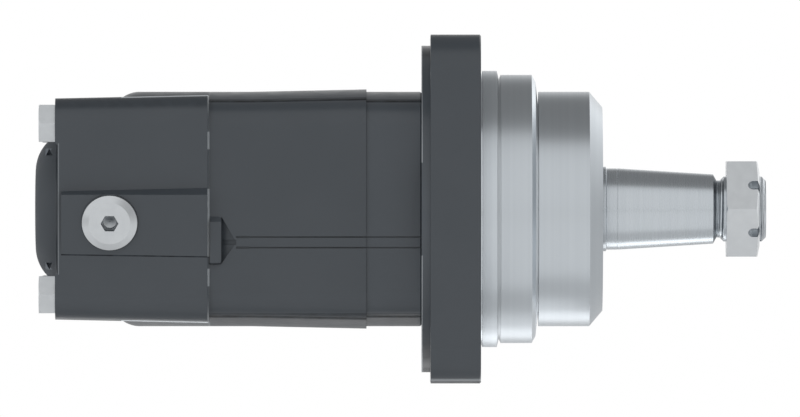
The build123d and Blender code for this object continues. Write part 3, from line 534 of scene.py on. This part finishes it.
def rear_finish():
    """Paint with painted highlights on its edges, drawn as paint worn to the metal, a painted shadow
    under the pad, painted shade on the top band, a matt dome with a painted highlight in its pockets,
    and bare machined ports.
    """
    s = Finish("rear_finish")
    pad_bottom = s.span(s.x, PAD_BOTTOM_REAR, PAD_BOTTOM_FRONT, PAD_START, REAR_JOINT)
    pad_shadow = s.both(s.within(s.minus(s.z, pad_bottom), *PAD_CREASE), s.below(s.y, NEAR_FACE),
                       s.above(s.x, PAD_START))
    # Painted shadow under the pad, and painted shade along the top band
    painted_shade = s.any_of(pad_shadow, s.span(s.z, 0, TOP_BAND_SHADE, *TOP_BAND))
    dome = s.below(s.x, REAR_FACE - SKIN)
    pocket = s.both(s.within(s.x, *POCKET_ALONG), s.below(s.reach(s.y), POCKET_DEPTH),
                    s.within(s.height, *POCKET_HEIGHT))
    ports = []
    for name in PORT_NAMES:
        x, face, z = MOUNTS[name]["pos_m"]
        ports.append(s.both(s.below(s.away_from(x, z), SPOTFACE_RADIUS),
                            s.above(s.y, face - PORT_FINISH_DEPTH)))
    shader = s.mixed(painted_shade, paint_surface(s), shade_surface(s))
    shader = s.mixed(rear_highlights(s), shader, worn_highlight_surface(s))
    shader = s.mixed(dome, shader, matt_surface(s))
    # Painted highlight: the dome's pockets in matt paint twice as light
    shader = s.mixed(pocket, shader, matt_surface(s, lightness=2.0))
    return s.done(s.mixed(s.any_of(*ports), shader, turned_surface(s, s.y, BORED)))


def crease(s, top):
    """Where shade is painted: where the barrel rises from the box section, and on the undersides."""
    up = s.minus(s.height, top)
    under = s.both(s.span(s.z, *UNDERSIDE_SHADE, *UNDERSIDE), s.below(s.z, UNDERSIDE_START))
    fade = s.times(s.within(up, *CREASE_FADE), CREASE_FADE_SHADE)
    return s.any_of(s.within(up, *CREASE), fade, under)


def valve_finish():
    """Paint, with painted shade in its creases, on its undersides, under the boss and in the recess
    beside the boss, and a painted highlight at the rear joint, drawn as paint worn to the metal.
    """
    s = Finish("valve_finish")
    top = s.span(s.x, BOX_TOP, BOX_TOP_SWOLLEN, SWELL_START, RING_REAR)
    boss_shadow = s.both(s.within(s.z, *BOSS_CREASE), s.below(s.y, BOSS_FACE), s.below(s.x, BOSS_FRONT))
    recess = s.both(s.within(s.y, *RECESS_DEPTH), s.within(s.x, *RECESS_ALONG),
                    s.within(s.z, *RECESS_HEIGHT))
    # Painted shade in the creases, under the boss and in the recess
    painted_shade = s.any_of(crease(s, top), s.times(boss_shadow, BOSS_CREASE_SHADE),
                    s.times(recess, RECESS_SHADE))
    joint_edge = s.both(s.below(s.x, REAR_JOINT + JOINT_EDGE), joint_highlight(s))
    shader = s.mixed(painted_shade, paint_surface(s), shade_surface(s))
    # Painted highlight at the rear joint, drawn as paint worn to the metal
    return s.done(s.mixed(s.times(joint_edge, VALVE_JOINT_HIGHLIGHT), shader, worn_highlight_surface(s)))


def ring_finish():
    s = Finish("ring_finish")
    # Paint lightened as painted light where the flange shades the ring, with painted shade in its
    # creases
    return s.done(s.mixed(crease(s, BOX_TOP), paint_surface(s, lightness=1.15), shade_surface(s)))


def flange_paint(s):
    """Paint, glossier and painted lighter on the round disc, with painted shade at the disc's ends and
    on the underside, and painted highlights, drawn as paint worn to the metal, on the disc edge and low
    edge.
    """
    ends = s.any_of(s.span(s.z, DISC_END_SHADE, 0, *DISC_LOW_END),
                    s.span(s.z, 0, DISC_END_SHADE, *DISC_HIGH_END))
    # Painted light: the disc's paint lightened, with painted shade at its ends
    disc_paint = s.mixed(ends, paint_surface(s, smoothest=0.16, lightness=1.45), shade_surface(s))
    underside = s.below(s.z, FLANGE_LOW_EDGE[0])
    disc_edge = s.both(s.below(s.x, RING_FRONT + DISC_EDGE), s.above(s.height, DISC_EDGE_START))
    shader = s.mixed(s.below(s.x, FLANGE_BACK - SKIN), paint_surface(s), disc_paint)
    # Painted shade on the underside
    shader = s.mixed(s.times(underside, FLANGE_UNDERSIDE_SHADE), shader, shade_surface(s))
    # Painted highlight on the disc edge, drawn as paint worn to the metal
    shader = s.mixed(s.times(disc_edge, DISC_EDGE_HIGHLIGHT), shader, worn_highlight_surface(s))
    # Painted highlight on the low edge, drawn as paint worn to the metal
    low_edge = s.times(s.within(s.z, *FLANGE_LOW_EDGE), LOW_EDGE_HIGHLIGHT)
    return s.mixed(low_edge, shader, worn_highlight_surface(s))


def flange_steel(s):
    """Bare nose and pilots, with their chamfer and grooves. The steel is painted a little lighter on
    the pilots than on the nose, lighter again on the pilot root, the chamfer and in the nose groove as
    painted highlights, and darker in the pilot groove as painted shade.
    """
    shader = turned_surface(s, s.radius, TURNED, lightness=0.98)
    # The lightness of each zone is painted light and shade, 1 being plain steel
    for mask, above in (
        (s.below(s.x, PILOT_END), turned_surface(s, s.radius, TURNED, lightness=1.08)),
        (s.below(s.x, PILOT_ROOT_END), turned_surface(s, s.radius, POLISHED, lightness=1.2)),
        (s.within(s.x, *PILOT_CHAMFER), turned_surface(s, s.radius, TURNED, lightness=1.2)),
        (s.within(s.x, *PILOT_GROOVE), groove_surface(s, lightness=0.85)),
        (s.within(s.x, *NOSE_GROOVE), groove_surface(s, lightness=1.15)),
    ):
        shader = s.mixed(mask, shader, above)
    return shader


def flange_finish():
    """Paint, with bare machined pilots, nose and bolt holes."""
    s = Finish("flange_finish")
    front = s.both(s.above(s.x, SKIN), s.below(s.radius, BARE_RADIUS))
    from_hole = s.distance(s.minus(s.reach(s.y), HOLE_OFFSET), s.minus(s.height, HOLE_OFFSET))
    bare = s.any_of(front, s.below(from_hole, HOLE_FINISH_RADIUS))
    return s.done(s.mixed(bare, flange_paint(s), flange_steel(s)))


def turned_steel(name):
    s = Finish(name)
    return s.done(turned_surface(s, s.radius, FINE_TURNED))


def shaft_finish():
    """Ground steel, with the helical lines of the thread at the neck and at the end, and dark steel at
    the taper's edge as the painted reflection of the nut's shaded rear face.
    """
    s = Finish("shaft_finish")
    turn = s.times(s.math("ARCTAN2", s.z, s.y), 0.5 / math.pi)
    along = s.math("ADD", s.times(s.x, 1 / SHAFT_THREAD_PITCH), turn)
    wave = s.math("SINE", s.times(along, 2 * math.pi))
    threaded = s.any_of(s.within(s.x, *NECK), s.above(s.x, SHAFT_THREAD_START))
    ridges = s.times(s.times(wave, 0.5), threaded)
    steel = turned_surface(s, s.radius, GROUND, ridges=ridges)
    # Painted reflection: dark steel at the taper's edge, where it faces the nut's shaded rear face
    return s.done(s.mixed(s.within(s.x, *TAPER_EDGE), steel, shade_steel_surface(s)))


def thread_steel():
    s = Finish("thread_steel")
    return s.done(turned_surface(s, s.y, BORED))


def plated_steel():
    s = Finish("plated_steel")
    return s.done(plated_surface(s))


def plug_finish():
    """Plated steel, with dark steel as painted shade in the hex socket, and plated steel again on its
    drilled floor as a painted highlight.
    """
    s = Finish("plug_finish")
    away = s.away_from(*PLUG_PLACE)
    socket = s.both(s.below(away, PLUG_SOCKET_RADIUS), s.above(s.y, PLUG_SOCKET_MOUTH))
    drilled = s.both(s.below(away, PLUG_DRILL_RADIUS), socket)
    # Painted shade in the hex socket
    shader = s.mixed(socket, plated_surface(s), shade_steel_surface(s))
    # Painted highlight on the socket's drilled floor
    return s.done(s.mixed(s.times(drilled, PLUG_DRILL_BRIGHT), shader, plated_surface(s)))


def bronze():
    s = Finish("bronze")
    return s.done(grained_surface(s, BRONZE, tone_scale=120.0, roughness=(0.3, 0.42),
                                  roughness_scale=700.0, grain=(1200.0, 0.08, 0.00004)))


def copper():
    s = Finish("copper")
    return s.done(grained_surface(s, COPPER, tone_scale=160.0, roughness=(0.32, 0.45),
                                  roughness_scale=700.0, grain=(1200.0, 0.08, 0.00004)))


def rubber():
    s = Finish("seal_rubber")
    return s.done(grained_surface(s, RUBBER, tone_scale=200.0, roughness=(0.55, 0.7),
                                  roughness_scale=500.0, grain=(1800.0, 0.1, 0.00005), metallic=0.0))


def dress(by_slot, by_node):
    """Gives each CAD node the material of its record slot, and some nodes their own."""
    for row in frame["record"]["subparts"]:
        node = frame["nodes"][row["node"]]
        material = by_node.get(row["node"], by_slot[row["material_slot"]])
        for place in node.material_slots:
            place.material = material


# Camera, light and floor

def photo_place(x, y):
    return Vector(((x - FLANGE_FACE_PIXEL) * METRES_PER_PIXEL, 0, (AXIS_PIXEL - y) * METRES_PER_PIXEL))


def make_camera():
    data = bpy.data.cameras.new("camera")
    data.lens = LENS
    data.sensor_width = SENSOR
    distance = PHOTO_WIDTH * METRES_PER_PIXEL * LENS / SENSOR + SCALE_DEPTH
    camera = bpy.data.objects.new("camera", data)
    bpy.context.collection.objects.link(camera)
    camera.location = photo_place(PHOTO_WIDTH / 2, PHOTO_HEIGHT / 2) + Vector((0, -distance, 0))
    camera.rotation_euler = (math.radians(90), 0, 0)
    data.clip_start = 0.1
    data.clip_end = 4 * distance
    bpy.context.scene.camera = camera


def make_lamp(name, middle, size, radiance):
    """An area lamp that faces up and that the camera doesn't see."""
    data = bpy.data.lights.new(name, "AREA")
    data.shape = "RECTANGLE"
    data.size, data.size_y = size
    data.energy = LAMP_POWER * size[0] * size[1] * radiance
    lamp = bpy.data.objects.new(name, data)
    bpy.context.collection.objects.link(lamp)
    lamp.location = (*middle, LAMP_HEIGHT)
    lamp.rotation_euler = Vector((0, 0, 1)).to_track_quat("-Z", "Y").to_euler()
    lamp.visible_camera = False


def make_world():
    """A pale studio with a dark ceiling, which gives way to a level that rises towards the far side
    ahead of the shaft, and to plain white behind the rear housing."""
    world = bpy.data.worlds.new("studio")
    bpy.context.scene.world = world
    world.use_nodes = True
    s = Nodes(world.node_tree)
    along, across, up = s.split(s.coordinates("Generated"))
    angle = s.math("ARCTAN2", up, s.times(across, -1))
    stops = [((degrees + 180) / 360, (strength,) * 3) for degrees, strength in STUDIO]
    studio = s.ramp(s.span(angle, 0, 1, -math.pi, math.pi), stops)
    level = s.span(across, *AHEAD, 0, 1)
    ahead = s.span(along, 0, 1, *AHEAD_FADE, interpolation_type="SMOOTHSTEP")
    colour = s.blended(ahead, studio, level)
    colour = s.blended(s.span(along, 0, 1, *BEHIND_FADE), colour, (1, 1, 1, 1))
    light = s.add("ShaderNodeBackground")
    s.link(colour, light.inputs["Color"])
    s.link(light.outputs[0], s.add("ShaderNodeOutputWorld").inputs["Surface"])


def make_floor():
    """Pale paper that keeps the object's shadow and glows a little where it is seen."""
    bpy.ops.mesh.primitive_circle_add(vertices=FLOOR_SIDES, radius=FLOOR_RADIUS, fill_type="NGON",
                                      location=(0, 0, FLOOR_HEIGHT))
    floor = bpy.context.object
    floor.name = "floor"
    s = Finish("floor_paper")
    roughness = s.span(s.noise(8.0), 0.75, 0.85)
    paper = s.surface(s.tones(s.noise(3.0), PAPER), roughness, s.relief(s.noise(300.0), 0.02, 0.0002))
    glow = s.add("ShaderNodeEmission")
    ray = s.add("ShaderNodeLightPath").outputs
    seen = s.any_of(ray["Is Camera Ray"], ray["Is Glossy Ray"], ray["Is Transmission Ray"])
    floor.data.materials.append(s.done(s.mixed(s.times(seen, FLOOR_GLOW), paper, glow.outputs[0])))


def port_thread(name):
    """A helical ridge, triangular in section, on the wall of a work port."""
    mount = MOUNTS[name]
    x, face, z = mount["pos_m"]
    wall = mount["dims"]["r_mm"] / 1000
    foot = wall + PORT_THREAD_SINK
    flank = PORT_THREAD_FLANK * PORT_THREAD_PITCH
    section = ((foot, -flank), (wall - PORT_THREAD_HEIGHT, 0), (foot, flank))
    count = int(PORT_THREAD_STEPS * PORT_THREAD_LENGTH / PORT_THREAD_PITCH)
    points, faces = [], []
    for i in range(count + 1):
        turn = 2 * math.pi * i / PORT_THREAD_STEPS
        depth = face - PORT_THREAD_START - PORT_THREAD_PITCH * i / PORT_THREAD_STEPS
        for radius, shift in section:
            points.append((x + radius * math.cos(turn), depth + shift, z + radius * math.sin(turn)))
    for i in range(count):
        for side in range(3):
            first, second = 3 * i + side, 3 * i + (side + 1) % 3
            faces.append((first, first + 3, second + 3, second))
    faces += [(0, 1, 2), (3 * count + 2, 3 * count + 1, 3 * count)]
    mesh = bpy.data.meshes.new(f"{name}_thread")
    mesh.from_pydata(points, [], faces)
    mesh.materials.append(thread_steel())
    ridge = bpy.data.objects.new(f"{name}_thread", mesh)
    bpy.context.collection.objects.link(ridge)
    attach(ridge, "housing")


dress(
    {
        "dark_paint": cast_paint(),
        "zinc_steel": plated_steel(),
        "shaft_steel": turned_steel("shaft_steel"),
        "hardened_steel": turned_steel("hardened_steel"),
        "cage_steel": plated_steel(),
        "bronze": bronze(),
        "copper_washer": copper(),
        "seal_rubber": rubber(),
    },
    {
        "drain_plug": plug_finish(),
        "flange_housing": flange_finish(),
        "gear_ring": ring_finish(),
        "valve_housing": valve_finish(),
        "rear_housing": rear_finish(),
        "output_shaft": shaft_finish(),
    },
)
for port in PORT_NAMES:
    port_thread(port)
make_camera()
make_world()
for lamp_row in LAMPS:
    make_lamp(*lamp_row)
make_floor()
bpy.context.scene.view_settings.view_transform = "Standard"
